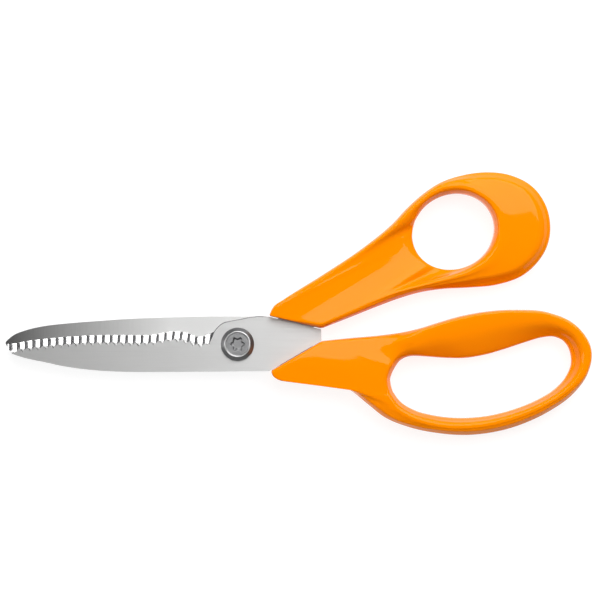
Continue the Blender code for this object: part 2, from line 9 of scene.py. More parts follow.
import bmesh
import bpy
import numpy as np
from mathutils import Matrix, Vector


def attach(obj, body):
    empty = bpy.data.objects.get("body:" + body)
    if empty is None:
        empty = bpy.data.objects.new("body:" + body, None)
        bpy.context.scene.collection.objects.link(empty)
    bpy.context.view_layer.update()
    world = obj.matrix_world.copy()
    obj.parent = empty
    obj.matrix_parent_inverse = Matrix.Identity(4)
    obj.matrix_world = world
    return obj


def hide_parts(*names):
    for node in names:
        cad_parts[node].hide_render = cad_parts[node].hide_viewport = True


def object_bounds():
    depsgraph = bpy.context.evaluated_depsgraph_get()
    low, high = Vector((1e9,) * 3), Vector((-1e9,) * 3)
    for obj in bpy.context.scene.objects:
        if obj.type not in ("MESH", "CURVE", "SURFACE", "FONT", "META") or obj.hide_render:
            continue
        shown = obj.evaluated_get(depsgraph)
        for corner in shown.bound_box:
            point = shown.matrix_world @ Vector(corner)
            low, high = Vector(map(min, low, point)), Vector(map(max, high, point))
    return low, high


MM = 0.001
NEAR = "near_half"
FAR = "far_half"

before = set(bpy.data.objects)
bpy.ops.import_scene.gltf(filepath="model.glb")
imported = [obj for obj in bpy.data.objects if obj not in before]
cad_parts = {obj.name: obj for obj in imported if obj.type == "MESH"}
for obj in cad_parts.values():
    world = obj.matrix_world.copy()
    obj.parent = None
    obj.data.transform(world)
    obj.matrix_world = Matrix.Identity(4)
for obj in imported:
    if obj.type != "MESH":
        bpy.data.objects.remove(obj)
CAD_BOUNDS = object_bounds()

# --- Sizes shared with the CAD design -----------------------------------------------------------------

GAP = 0.3                # between pieces that turn or slide on each other
NUT_FLANGE_T = 1.45
PLATE_T = 2.2            # thickness of a blade's plate
MESH_Z = 4.8             # height where the two rows of teeth meet
PLATE_OFFSET = 0.85      # from there to the inner face of each plate
TEETH = 27
PITCH = 3.03
FIRST_FLANK_R = 10.67    # from the pivot to the middle of the first steep flank
FLANK_W = (0.45, 0.75)   # width of a flank, at the pivot's end of the row and at the tip's end
TOOTH_DEPTH = 1.2
TOOTH_CLEARANCE = 0.3
ZIGZAG_HEIGHT = 1.3      # of the cutting edge, seen from above
ZIGZAG_HALF = 0.9        # half the width of each of its falling sides
SHANK_R = 2.75
HEAD_R = 6.5
HEAD_Z = (8.0, 9.65)     # underside and top of the screw's head
BUSH_R = (3.0, 4.1)
COUNTERBORE_R = 6.3
COUNTERBORE_DEPTH = 1.0
NUT_FLANGE_R = 6.0
NUT_HEX_R = 4.7
THUMB_HOLE = {"centre": (84.5, 44.0), "long": 16.35, "short": 14.5, "tilt": 25.0}


# --- Curves and meshes ----------------------------------------------------------------------------------


def smooth(values, knots, closed=False, corners=()):
    """A function giving the smooth curve through values at knots, with a kink at each corner."""
    values = np.asarray(values, float)
    count = len(values)
    gaps = np.diff(knots)
    last = count if closed else count - 1
    slopes = [(values[(i + 1) % count] - values[i]) / gaps[i] for i in range(last)]

    def tangent(i, side):
        before = (i - 1) % count if closed else i - 1
        if not closed and i in (0, count - 1):
            return slopes[0] if i == 0 else slopes[-1]
        if i in corners:
            return slopes[before] if side < 0 else slopes[i]
        a, b = gaps[before], gaps[i]
        return (slopes[before] * b + slopes[i] * a) / (a + b)

    def at(knot):
        i = min(int(np.searchsorted(knots, knot, side="right")) - 1, last - 1)
        i = max(i, 0)
        j = (i + 1) % count
        d = gaps[i]
        u = (knot - knots[i]) / d
        start = tangent(i, 1) * d
        end = tangent(j, -1) * d
        return (
            values[i] * (2 * u**3 - 3 * u**2 + 1)
            + start * (u**3 - 2 * u**2 + u)
            + values[j] * (3 * u**2 - 2 * u**3)
            + end * (u**3 - u**2)
        )

    return at


def chord_knots(points, closed=False):
    """The distance along the straight lines through the points, up to each point."""
    points = np.asarray(points, float)
    ends = np.roll(points, -1, axis=0) if closed else points[1:]
    steps = np.linalg.norm(ends - points[: len(ends)], axis=1)
    return np.concatenate([[0.0], np.cumsum(steps)])


def spline(points, step):
    """Points about step apart on the smooth curve through the given points."""
    knots = chord_knots(points)
    curve = smooth(points, knots)
    found = []
    for start, end in zip(knots[:-1], knots[1:]):
        count = max(1, round((end - start) / step))
        found += [tuple(curve(start + (end - start) * i / count)) for i in range(count)]
    return found + [tuple(points[-1])]


def polar_point(radius, angle):
    return (radius * math.cos(angle), radius * math.sin(angle))


def polygon(radius, sides):
    """The corners of a regular polygon round the origin."""
    return [polar_point(radius, 2 * math.pi * i / sides) for i in range(sides)]


def mesh_object(name, vertices, faces, materials=(), indices=(), sharp=35.0):
    """An object made from millimetres, shaded smooth where its faces meet at less than sharp degrees."""
    mesh = bpy.data.meshes.new(name)
    mesh.from_pydata([tuple(float(c) * MM for c in v) for v in vertices], [], faces)
    shaped = bmesh.new()
    shaped.from_mesh(mesh)
    bmesh.ops.recalc_face_normals(shaped, faces=shaped.faces)
    shaped.to_mesh(mesh)
    shaped.free()
    mesh.shade_smooth()
    mesh.set_sharp_from_angle(angle=math.radians(sharp))
    made = bpy.data.objects.new(name, mesh)
    bpy.context.scene.collection.objects.link(made)
    for material in materials:
        mesh.materials.append(material)
    if indices:
        mesh.polygons.foreach_set("material_index", indices)
    return made


def prism(name, outline, low, high, widen=1.0):
    """The outline between two heights, widen times as wide at the higher one."""
    count = len(outline)
    vertices = [(x, y, low) for x, y in outline]
    vertices += [(x * widen, y * widen, high) for x, y in outline]
    faces = [list(range(count)), list(range(count, 2 * count))]
    faces += [[i, (i + 1) % count, count + (i + 1) % count, count + i] for i in range(count)]
    return mesh_object(name, vertices, faces)


def turned(name, profile, segments=128):
    """The solid that the profile of (radius, height) points sweeps round the pivot's axis."""
    on_axis = profile[0][0] == 0
    rings = profile[1:-1] if on_axis else profile
    vertices = []
    for radius, height in rings:
        for i in range(segments):
            x, y = polar_point(radius, 2 * math.pi * i / segments)
            vertices.append((x, y, height))
    rows = [list(range(k * segments, (k + 1) * segments)) for k in range(len(rings))]
    faces = []
    following = rows[1:] if on_axis else rows[1:] + rows[:1]
    for row, after in zip(rows, following):
        for i in range(segments):
            j = (i + 1) % segments
            faces.append([row[i], row[j], after[j], after[i]])
    if on_axis:
        faces += [rows[0], rows[-1]]
    return mesh_object(name, vertices, faces)


def apply_modifiers(piece):
    """Leaves the evaluated mesh in place of the modifiers."""
    graph = bpy.context.evaluated_depsgraph_get()
    mesh = bpy.data.meshes.new_from_object(piece.evaluated_get(graph), depsgraph=graph)
    piece.modifiers.clear()
    piece.data = mesh


PAST = 1.0    # how far a cutter reaches past the solid that it cuts


def combine(target, tool, operation="DIFFERENCE"):
    """Cuts the tool from the target, or joins it on, and removes the tool."""
    modifier = target.modifiers.new(tool.name, "BOOLEAN")
    modifier.operation = operation
    modifier.object = tool
    apply_modifiers(target)
    bpy.data.objects.remove(tool)


def soften_edges(piece, width, segments=3, angle=30.0):
    """Rounds every hard edge by width."""
    bevel = piece.modifiers.new("edges", "BEVEL")
    bevel.width = width * MM
    bevel.segments = segments
    bevel.limit_method = "ANGLE"
    bevel.angle_limit = math.radians(angle)
    bevel.harden_normals = True
    bevel.miter_outer = "MITER_ARC"
    apply_modifiers(piece)


def grown(outline, distance):
    """The counterclockwise outline with every side moved outwards by distance."""
    points = np.array(outline, float)
    along = np.roll(points, -1, axis=0) - points
    along /= np.linalg.norm(along, axis=1)[:, None]
    normals = np.stack([along[:, 1], -along[:, 0]], axis=1)
    before = np.roll(normals, 1, axis=0)
    shift = (normals + before) / (1 + (normals * before).sum(axis=1))[:, None]
    return [tuple(p) for p in points + shift * distance]


# --- Materials --------------------------------------------------------------------------------------

ORANGE = ((1.0, 0.262, 0.0), (1.0, 0.246, 0.0))   # the two tints that the plastic's flow marks blend
PLASTIC_SPECULAR = 0.25
PLASTIC_TINT = (1.0, 0.66, 0.42, 1.0)
PLASTIC_ROUGHNESS = (0.045, 0.09)                 # where it is untouched and where it is rubbed
PARTING_HALF = 0.12                               # half the width of the mould's parting line
PARTING_RISE = 0.06
STEEL_TONE = 0.05                                 # how far the grain changes a steel's colour
STEEL_SWING = 0.2                                 # and its roughness, both as shares
LATHE_SWING = 0.15                                # the same for the rings on turned steel
LATHE_SCALE = 5000.0                              # of those rings, per metre
BUMP_DEPTH = {"ripple": 0.4, "lathe": 0.03, "grain": 0.02, "nylon": 0.03}
BLADE_TIP = -91.0                                 # x where the painted shade towards a blade's tip is darkest


class Shader:
    """A Principled material and short ways to add nodes to it."""

    def __init__(self, name, color, roughness, metallic):
        self.material = bpy.data.materials.new(name)
        self.material.use_nodes = True
        self.tree = self.material.node_tree
        self.principled = self.tree.nodes["Principled BSDF"]
        self.set("Base Color", (*color, 1.0))
        self.set("Roughness", roughness)
        self.set("Metallic", metallic)

    def set(self, socket, value):
        self.principled.inputs[socket].default_value = value

    def node(self, kind, values=None, **settings):
        made = self.tree.nodes.new(kind)
        for key, value in settings.items():
            setattr(made, key, value)
        for socket, value in (values or {}).items():
            if isinstance(value, bpy.types.NodeSocket):
                self.tree.links.new(value, made.inputs[socket])
            else:
                made.inputs[socket].default_value = value
        return made

    def link(self, output, socket):
        self.tree.links.new(output, self.principled.inputs[socket])

    def stretched_noise(self, scale, detail=2.0, roughness=0.5):
        """Noise in object space, with a scale along each axis, per metre."""
        place = self.node("ShaderNodeTexCoord")
        mapped = self.node("ShaderNodeMapping", {"Vector": place.outputs["Object"], "Scale": scale})
        return self.node(
            "ShaderNodeTexNoise",
            {"Vector": mapped.outputs[0], "Scale": 1.0, "Detail": detail, "Roughness": roughness},
        ).outputs["Fac"]

    def between(self, value, low, high, start=0.0, end=1.0):
        """Maps start to low and end to high, and holds there beyond them."""
        made = self.node(
            "ShaderNodeMapRange",
            {"Value": value, "From Min": start, "From Max": end, "To Min": low, "To Max": high},
        )
        return made.outputs["Result"]

    def bump(self, height, strength, distance, normal=None):
        values = {"Height": height, "Strength": strength, "Distance": distance}
        if normal:
            values["Normal"] = normal
        return self.node("ShaderNodeBump", values).outputs["Normal"]


def handle_plastic():
    """Glossy moulded orange with faint flow marks, rubbed patches and the mould's parting line."""
    shader = Shader("handle_plastic", ORANGE[0], 0.06, 0.0)
    shader.set("Specular IOR Level", PLASTIC_SPECULAR)
    shader.set("Specular Tint", PLASTIC_TINT)
    flow = shader.stretched_noise((40, 40, 40), 3.0)
    tint = shader.node("ShaderNodeMix", data_type="RGBA")
    tint.inputs["A"].default_value = (*ORANGE[0], 1)
    tint.inputs["B"].default_value = (*ORANGE[1], 1)
    shader.tree.links.new(flow, tint.inputs["Factor"])
    shader.link(tint.outputs["Result"], "Base Color")
    rubbed = shader.stretched_noise((900, 900, 900), 4.0, 0.6)
    shader.link(shader.between(rubbed, *PLASTIC_ROUGHNESS, 0.35, 0.75), "Roughness")
    place = shader.node("ShaderNodeTexCoord").outputs["Object"]
    height = shader.node("ShaderNodeSeparateXYZ", {0: place}).outputs["Z"]
    off_line = shader.node("ShaderNodeMath", {0: height, 1: MESH_Z * MM}, operation="SUBTRACT")
    distance = shader.node("ShaderNodeMath", {0: off_line.outputs[0]}, operation="ABSOLUTE").outputs[0]
    ridge = shader.between(distance, 1.0, 0.0, 0.0, PARTING_HALF * MM)
    ripple = shader.stretched_noise((120, 120, 120), 1.0)
    soft = shader.bump(ripple, 0.03, BUMP_DEPTH["ripple"] * MM)
    shader.link(shader.bump(ridge, 0.6, PARTING_RISE * MM, soft), "Normal")
    return shader.material


def turned_steel(name, color, roughness, bump):
    """Steel with the fine rings that a lathe leaves about the pivot's axis."""
    shader = Shader(name, color, roughness, 1.0)
    place = shader.node("ShaderNodeTexCoord").outputs["Object"]
    flat = shader.node("ShaderNodeVectorMath", {0: place, 1: (1, 1, 0)}, operation="MULTIPLY").outputs[0]
    radius = shader.node("ShaderNodeVectorMath", {0: flat}, operation="LENGTH").outputs["Value"]
    rings = shader.node("ShaderNodeTexNoise", {"W": radius, "Scale": LATHE_SCALE}, noise_dimensions="1D")
    cast = shader.stretched_noise((1800, 1800, 1800), 3.0, 0.6)
    mixed = shader.node("ShaderNodeMath", {0: rings.outputs["Fac"], 1: cast}, operation="ADD").outputs[0]
    swing = LATHE_SWING * roughness
    shader.link(shader.between(mixed, roughness - swing, roughness + swing, 0.7, 1.3), "Roughness")
    shader.link(shader.bump(mixed, bump, BUMP_DEPTH["lathe"] * MM), "Normal")
    return shader.material


def steel(name, color, roughness, marks, bump, spread=None, anisotropic=0.0, tip_shade=None):
    """Ground or brushed steel.

    marks is the noise scale along each axis, per metre, and spread the axis across the marks, along
    which they scatter the light. The last argument is a painted shade that darkens the colour towards
    the tip: how bright the steel is at the tip, as a share, and the x from which it is fully bright.
    """
    shader = Shader(name, color, roughness, 1.0)
    grain = shader.stretched_noise(marks, 3.0, 0.65)
    swing = STEEL_SWING * roughness
    shader.link(shader.between(grain, roughness - swing, roughness + swing, 0.3, 0.7), "Roughness")
    tone = shader.node("ShaderNodeMix", data_type="RGBA")
    tone.inputs["A"].default_value = (*[c * (1 - STEEL_TONE) for c in color], 1)
    tone.inputs["B"].default_value = (*[min(1.0, c * (1 + STEEL_TONE)) for c in color], 1)
    shader.tree.links.new(shader.between(grain, 0, 1, 0.3, 0.7), tone.inputs["Factor"])
    output = tone.outputs["Result"]
    # Painted shade: the colour darkens from reach towards the blade's tip.
    if tip_shade:
        share, reach = tip_shade
        place = shader.node("ShaderNodeTexCoord").outputs["Object"]
        along = shader.node("ShaderNodeSeparateXYZ", {0: place}).outputs["X"]
        factor = shader.between(along, share, 1.0, BLADE_TIP * MM, reach * MM)
        scaled = shader.node("ShaderNodeVectorMath", {0: output, "Scale": factor}, operation="SCALE")
        output = scaled.outputs[0]
    shader.link(output, "Base Color")
    shader.link(shader.bump(grain, bump, BUMP_DEPTH["grain"] * MM), "Normal")
    shader.set("Anisotropic", anisotropic)
    if spread:
        turn = shader.node(
            "ShaderNodeVectorTransform",
            {0: spread},
            vector_type="VECTOR",
            convert_from="OBJECT",
            convert_to="WORLD",
        )
        shader.link(turn.outputs[0], "Tangent")
    return shader.material


# --- Teeth ------------------------------------------------------------------------------------------
#
# The teeth are arcs about the pivot. A point of theirs is given by its radius and by its angle above
# the line from the pivot towards the tip.


STATION_GAP = 0.05    # a corner closer to the row's end than this is left out


def flank_r(tooth):
    return FIRST_FLANK_R + PITCH * tooth


def flank_half(radius):
    share = (radius - FIRST_FLANK_R) / (PITCH * (TEETH - 1))
    return (FLANK_W[0] + (FLANK_W[1] - FLANK_W[0]) * share) / 2


def tooth_corners(kind):
    """Radius and value where the sawtooth's height, or the cutting edge's zigzag, turns."""
    corners = []
    for tooth in range(-1, TEETH + 1):
        radius = flank_r(tooth)
        half = flank_half(radius) if kind == "sawtooth" else ZIGZAG_HALF
        ends = (-0.5, 0.5) if kind == "sawtooth" else (1.0, 0.0)
        corners += [(radius - half, ends[0]), (radius + half, ends[1])]
    return corners


def tooth_value(kind, radius):
    radii, values = zip(*tooth_corners(kind))
    return float(np.interp(radius, radii, values))


def tooth_stations(first, last):
    """The radii of all those corners between first and last, and the two ends."""
    radii = [r for kind in ("sawtooth", "zigzag") for r, _ in tooth_corners(kind)]
    inside = [r for r in radii if first + STATION_GAP < r < last - STATION_GAP]
    return [first] + sorted(inside) + [last]


def on_flank(radius):
    """Whether the sawtooth jumps at this radius."""
    tooth = round((radius - FIRST_FLANK_R) / PITCH)
    return abs(radius - flank_r(tooth)) < flank_half(flank_r(tooth))


def polar_line(points):
    """The smooth line through the points, as a function from radius to angle."""
    polar = sorted((math.hypot(x, y), math.atan2(y, -x)) for x, y in points)
    curve = smooth([angle for _, angle in polar], [radius for radius, _ in polar])
    return lambda radius: float(curve(radius))


def at_polar(radius, angle):
    return (-radius * math.cos(angle), radius * math.sin(angle))


# --- Blades -----------------------------------------------------------------------------------------

TOOTH_ROWS = 10                          # points across a row of teeth
# The flank and rim slots hold darker copies of the blade's steel, painted shade.
PLATE, LIT_FACET, SHADED_FLANK, SHADED_RIM = 0, 1, 2, 3    # material slots of a blade
SHOULDER_DRAFT = 0.35                    # how far the shoulder's wall leans in from bottom to top
DRAFT_EASE = 3                           # points over which that lean starts and ends
SHOULDER_STEP = 0.8                      # between points on the shoulder, and on the spine
SPINE_STEP = 1.5
PAINTED_SHADE_CORNER = 0.8                        # length of the corner where the teeth begin, painted dark as shade
NEAR_EDGE = 0.07                         # rounding of the two blades' edges
FAR_EDGE = 0.05

# Each row of teeth runs from the cutting edge, without its zigzag, to the root on the inner face.
# The far blade's points are those of the blade turned over, so that both blades are built alike.
NEAR_TEETH = {
    "edge": [
        (-88.5, -3.6), (-84.4, -3.1), (-78.3, -2.35), (-69.1, -1.3), (-57.0, -0.6), (-47.8, -0.55),
        (-38.0, -0.7), (-32.8, -0.3), (-28.0, 0.6), (-24.2, 0.85), (-20.3, 0.2), (-17.0, -0.95),
        (-14.0, -1.2), (-10.9, -0.3),
    ],
    "root": [
        (-88.5, -3.3), (-86.0, -4.1), (-83.0, -4.8), (-78.0, -5.7), (-69.0, -6.9), (-57.0, -6.8),
        (-38.0, -6.8), (-26.0, -5.6), (-20.0, -6.2), (-15.0, -7.2), (-9.0, -6.0),
    ],
    "span": (10.95, 88.3),
    "zigzag_until": 90.0,
    "sign": 1,
}
FAR_TEETH = {
    "edge": [
        (-90.2, 1.95), (-89.2, 2.8), (-88.0, 3.4), (-84.0, 3.5), (-78.0, 3.1), (-69.0, 2.3),
        (-57.0, 1.7), (-47.0, 1.7), (-38.7, 1.8), (-32.8, 1.4), (-26.0, 0.4), (-20.3, 0.9),
        (-15.0, 2.3), (-11.5, 2.4), (-10.2, 2.3),
    ],
    "root": [
        (-90.3, 0.0), (-86.7, -0.35), (-83.7, -0.94), (-77.6, -1.77), (-71.4, -2.4), (-65.4, -2.87),
        (-59.2, -3.26), (-53.2, -3.45), (-45.0, -3.45), (-38.0, -3.38), (-34.3, -3.45),
        (-28.9, -4.36), (-25.5, -4.83), (-23.0, -4.83), (-19.6, -4.16), (-16.6, -2.95),
        (-14.4, -2.75), (-11.1, -4.0), (-9.46, -4.79),
    ],
    "span": (10.6, 90.25),
    "zigzag_until": 88.0,
    "sign": -1,
}

NEAR_SPINE = [
    (-88.3, -3.75), (-87.1, -4.2), (-83.2, -5.4), (-75.7, -7.0), (-68.2, -8.6), (-58.2, -10.0),
    (-48.2, -10.7), (-38.2, -10.9), (-14.7, -10.8), (12.2, -10.55),
]
FAR_SPINE = [
    (-91.33, -0.35), (-90.9, -1.15), (-90.15, -1.88), (-88.2, -3.4), (-83.2, -5.4), (-75.7, -7.07),
    (-68.2, -7.93), (-53.2, -9.1), (-43.1, -9.8), (-33.2, -10.2), (-14.7, -10.7), (11.4, -10.75),
]
NEAR_SHOULDER = [
    (12.0, 10.72), (8.05, 10.95), (5.26, 10.64), (-0.16, 9.58), (-3.3, 9.03), (-6.0, 8.24),
    (-8.24, 6.24), (-9.3, 4.75), (-10.3, 2.4), (-10.85, 0.6),
]
FAR_SHOULDER = [
    (12.6, 10.2), (6.0, 10.4), (0.0, 9.7), (-3.5, 9.1), (-6.5, 8.0), (-8.6, 6.3), (-9.7, 4.9),
]
NEAR_TANG = [
    (29.6, 6.5), (36.5, 11.5), (50.5, 19.0), (52.0, 21.5), (50.5, 24.3), (46.5, 25.2), (33.0, 20.5),
    (19.0, 12.8), (15.6, 9.85),
]
FAR_TANG = [
    (28.6, 0.88), (33.0, 2.9), (46.0, 3.2), (49.0, 6.0), (49.0, 9.5), (46.0, 12.3), (30.0, 11.8),
    (19.5, 10.7), (16.1, 8.15),
]
# where each handle's pocket opens at its front: the corners that its cutter adds
NEAR_MOUTH = [(17.0, 2.0), (24.0, -2.0)]
FAR_MOUTH = [(11.0, 2.0), (26.0, -6.0)]
NEAR_HEEL = [(13.05, -10.2), (32.85, 1.36), (32.7, 5.75)]
FAR_HEEL = [(12.1, -10.55), (32.7, -5.6), (32.7, -1.5)]


def blade(name, teeth, spine, heel, tang, shoulder, materials):
    """A flat plate whose cutting edge carries a row of teeth on the inner face."""
    inner = MESH_Z + PLATE_OFFSET
    outer = inner + PLATE_T
    edge = polar_line(teeth["edge"])
    root = polar_line(teeth["root"])
    # The painted shade at the corner where the teeth begin ends at a station of its own.
    painted_shade_until = teeth["span"][0] + PAINTED_SHADE_CORNER
    radii = sorted(tooth_stations(*teeth["span"]) + [painted_shade_until])
    vertices = []

    def add(x, y, z):
        vertices.append((x, y, z))
        return len(vertices) - 1

    shares = [i / (TOOTH_ROWS - 1) for i in range(TOOTH_ROWS)]
    edge_top = []
    rows = []
    root_inner = []
    for radius in radii:
        fade = min(1.0, max(0.0, (teeth["zigzag_until"] - radius) / PITCH))
        zigzag = ZIGZAG_HEIGHT * fade * tooth_value("zigzag", radius)
        start = edge(radius) + zigzag / radius
        end = root(radius)
        height = teeth["sign"] * TOOTH_DEPTH * tooth_value("sawtooth", radius)
        tooth_z = MESH_Z + height + TOOTH_CLEARANCE / 2
        edge_top.append(add(*at_polar(radius, start), outer))
        rows.append([add(*at_polar(radius, start + (end - start) * s), tooth_z) for s in shares])
        root_inner.append(add(*at_polar(radius, end), inner))
    first_inner = [add(*vertices[v][:2], inner) for v in rows[0][:-1]] + [root_inner[0]]
    last_inner = [add(*vertices[v][:2], inner) for v in rows[-1][:-1]] + [root_inner[-1]]

    back = spline(shoulder, SHOULDER_STEP)
    rest = spline(spine, SPINE_STEP) + heel + tang + back
    first_drafted = len(rest) - len(back)
    drafted = list(rest)
    for i, inset in enumerate(grown(rest, -SHOULDER_DRAFT)[first_drafted:]):
        share = min(1.0, i / DRAFT_EASE, (len(back) - 1 - i) / DRAFT_EASE)
        x, y = rest[first_drafted + i]
        drafted[first_drafted + i] = (x + (inset[0] - x) * share, y + (inset[1] - y) * share)
    rest_top = [add(x, y, outer) for x, y in drafted]
    rest_inner = [add(x, y, inner) for x, y in rest]

    kinds = {}
    faces = [edge_top + rest_top]
    faces.append(first_inner[:-1] + root_inner + last_inner[-2::-1] + rest_inner)
    for i in range(len(radii) - 1):
        wall = [edge_top[i], edge_top[i + 1], rows[i + 1][0], rows[i][0]]
        if i == 0:
            wall.append(first_inner[0])
        if i == len(radii) - 2:
            wall.insert(2, last_inner[0])
        faces.append(wall)
        middle = (radii[i] + radii[i + 1]) / 2
        # Painted shade: the steep flanks and the corner where the teeth begin get the dark flank steel.
        kind = SHADED_FLANK if on_flank(middle) or middle < painted_shade_until else LIT_FACET
        for j in range(TOOTH_ROWS - 1):
            a, b, c, d = rows[i][j], rows[i + 1][j], rows[i + 1][j + 1], rows[i][j + 1]
            kinds[len(faces)] = kind
            kinds[len(faces) + 1] = kind
            faces += [[a, b, c], [a, c, d]]
        faces.append([rows[i][-1], rows[i + 1][-1], root_inner[i + 1], root_inner[i]])
    for row, above in ((rows[0], first_inner), (rows[-1], last_inner)):
        for j in range(TOOTH_ROWS - 1):
            faces.append([row[j], row[j + 1], above[j + 1], above[j]])
    top = [edge_top[-1]] + rest_top + [edge_top[0]]
    bottom = [last_inner[0]] + rest_inner + [first_inner[0]]
    for i in range(len(top) - 1):
        # Painted shade: the shoulder's walls get the dark flank steel, the other side walls the darker
        # rim steel.
        kinds[len(faces)] = SHADED_FLANK if i > first_drafted else SHADED_RIM
        faces.append([top[i], top[i + 1], bottom[i + 1], bottom[i]])
    if teeth["sign"] < 0:
        vertices = [(x, -y, 2 * MESH_Z - z) for x, y, z in vertices]
    indices = [kinds.get(i, PLATE) for i in range(len(faces))]
    return mesh_object(name, vertices, faces, materials, indices)


def make_blades():
    near_inner = MESH_Z + PLATE_OFFSET
    near_outer = near_inner + PLATE_T
    floor = near_outer - COUNTERBORE_DEPTH
    # The facets are lit by the left strip, and their near-white colour, brighter than the plate's steel,
    # is painted highlight on top.
    facet = steel(
        "tooth_facet_painted_highlight", color=(0.97, 0.97, 0.97), roughness=0.22, marks=(3000, 60, 3000), bump=0.1
    )
    # Dark steel for the flanks, that corner and the shoulder's walls: painted shade.
    flank = steel(
        "tooth_flank_painted_shade", color=(0.2, 0.2, 0.205), roughness=0.5, marks=(3000, 3000, 3000), bump=0.2
    )
    # Darker steel for the other side walls, so that the edges show dark lines: painted shade.
    rim = steel(
        "blade_rim_painted_shade", color=(0.42, 0.42, 0.42), roughness=0.4, marks=(60, 60, 4000), bump=0.3
    )
    # The near plate's colour darkens a little towards the tip: painted shade.
    plate = steel(
        "near_steel", color=(0.61, 0.61, 0.606), roughness=0.6, marks=(60, 4000, 4000), bump=0.3,
        spread=(0, 1, 0), anisotropic=0.7, tip_shade=(0.8, 10.0),
    )
    near = blade(
        "near_blade_steel", NEAR_TEETH, NEAR_SPINE, NEAR_HEEL, NEAR_TANG, NEAR_SHOULDER,
        (plate, facet, flank, rim),
    )
    bore = BUSH_R[1] + GAP
    below, above = near_inner - PAST, near_outer + PAST
    bore_profile = [
        (0, below), (bore, below), (bore, floor), (COUNTERBORE_R, floor), (COUNTERBORE_R, above),
        (0, above),
    ]
    combine(near, turned("near_bore", bore_profile))
    soften_edges(near, NEAR_EDGE, 2)
    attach(near, NEAR)
    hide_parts("near_blade")
    # The far plate's colour darkens strongly towards the tip: painted shade.
    plate = steel(
        "far_steel", color=(0.67, 0.67, 0.665), roughness=0.6, marks=(4000, 60, 4000), bump=0.3,
        tip_shade=(0.14, -26.0),
    )
    far = blade(
        "far_blade_steel", FAR_TEETH, FAR_SPINE, FAR_HEEL, FAR_TANG, FAR_SHOULDER,
        (plate, facet, flank, rim),
    )
    combine(far, prism("far_bore", polygon(NUT_HEX_R + GAP, 6), 0.0, MESH_Z))
    soften_edges(far, FAR_EDGE, 2)
    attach(far, FAR)
    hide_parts("far_blade")


# --- Pivot ------------------------------------------------------------------------------------------

SHANK_CHAMFER = 0.5
HEAD_CHAMFER = 0.3
RIM_R = (4.6, 5.1)      # inner and outer edge of the raised rim on the head
RIM_RISE = 0.35
RIM_FLAT = (0.1, 0.05)  # how far the rim's flat top is inside those two edges
RIM_FOOT = 0.2          # how far its inner side leans in below the inner edge
RIM_BREAK = 0.08        # height of the break between the rim's top and the head's sloping flank
DRIVER_R = 2.2          # at the floor of the driver recess
DRIVER_DEPTH = 1.0
DRIVER_TAPER = 0.36     # how much wider the recess is at the disc, as a share
LOBE = 0.14             # how far the recess's six lobes reach from their middle radius, as a share
HEAD_EDGE = 0.08        # rounding of the edges on the screw, on the nut and on the rings
NUT_EDGE = 0.12
RING_EDGE = 0.06
# The rim's slot holds a brighter copy of the screw's steel, painted highlight; the side's a darker one,
# painted shade.
DISC, LIT_RIM, SHADED_SIDE = 0, 1, 2    # material slots of the screw
HEIGHT_SLACK = 0.05             # a face this much above the disc is on the rim
NUT_CHAMFER = (0.6, 0.5)        # along the nut's face and up its side
NUT_SHORT = 0.1                 # how far the boss ends below the far blade's inner face
BOSS_SUNK = 0.5                 # how deep the boss starts inside the flange
NUT_BORE_FLOOR = 1.0            # height where the nut's blind bore begins


def six_lobe(radius, steps=20):
    """A six-lobed outline that reaches the radius at the tips of its lobes."""
    points = []
    for i in range(6 * steps):
        angle = 2 * math.pi * i / (6 * steps)
        points.append(polar_point(radius * (1 - LOBE + LOBE * math.cos(6 * angle)), angle))
    return points


def make_screw():
    under, top = HEAD_Z
    end = NUT_FLANGE_T
    disc = top - RIM_RISE
    inner, outer = RIM_R
    profile = [
        (0, end), (SHANK_R - SHANK_CHAMFER, end), (SHANK_R, end + SHANK_CHAMFER), (SHANK_R, under),
        (HEAD_R - HEAD_CHAMFER, under), (HEAD_R, under + HEAD_CHAMFER),
        (outer + RIM_FLAT[1], top - RIM_BREAK), (outer - RIM_FLAT[1], top),
        (inner + RIM_FLAT[0], top), (inner - RIM_FOOT, disc), (0, disc),
    ]
    screw = turned("pivot_screw_turned", profile)
    rise = DRIVER_DEPTH + RIM_RISE + PAST
    wide = 1 + DRIVER_TAPER * rise / DRIVER_DEPTH
    recess = prism("driver_recess", six_lobe(DRIVER_R), disc - DRIVER_DEPTH, top + PAST, wide)
    combine(screw, recess)
    soften_edges(screw, HEAD_EDGE, 3)
    screw.data.materials.clear()
    # One steel in three tones: the rim's lighter tone is painted highlight, the side's darker tone
    # painted shade.
    for look in (
        turned_steel("screw_steel", color=(0.34, 0.34, 0.345), roughness=0.4, bump=0.3),
        turned_steel("screw_rim_painted_highlight", color=(0.66, 0.66, 0.66), roughness=0.35, bump=0.03),
        turned_steel("screw_flank_painted_shade", color=(0.27, 0.27, 0.275), roughness=0.34, bump=0.1),
    ):
        screw.data.materials.append(look)
    for face in screw.data.polygons:
        radius = face.center.xy.length / MM
        on_lit_rim = radius > DRIVER_R and face.center.z > (disc + HEIGHT_SLACK) * MM
        face.material_index = SHADED_SIDE if radius > outer else LIT_RIM if on_lit_rim else DISC
    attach(screw, FAR)
    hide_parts("pivot_screw")


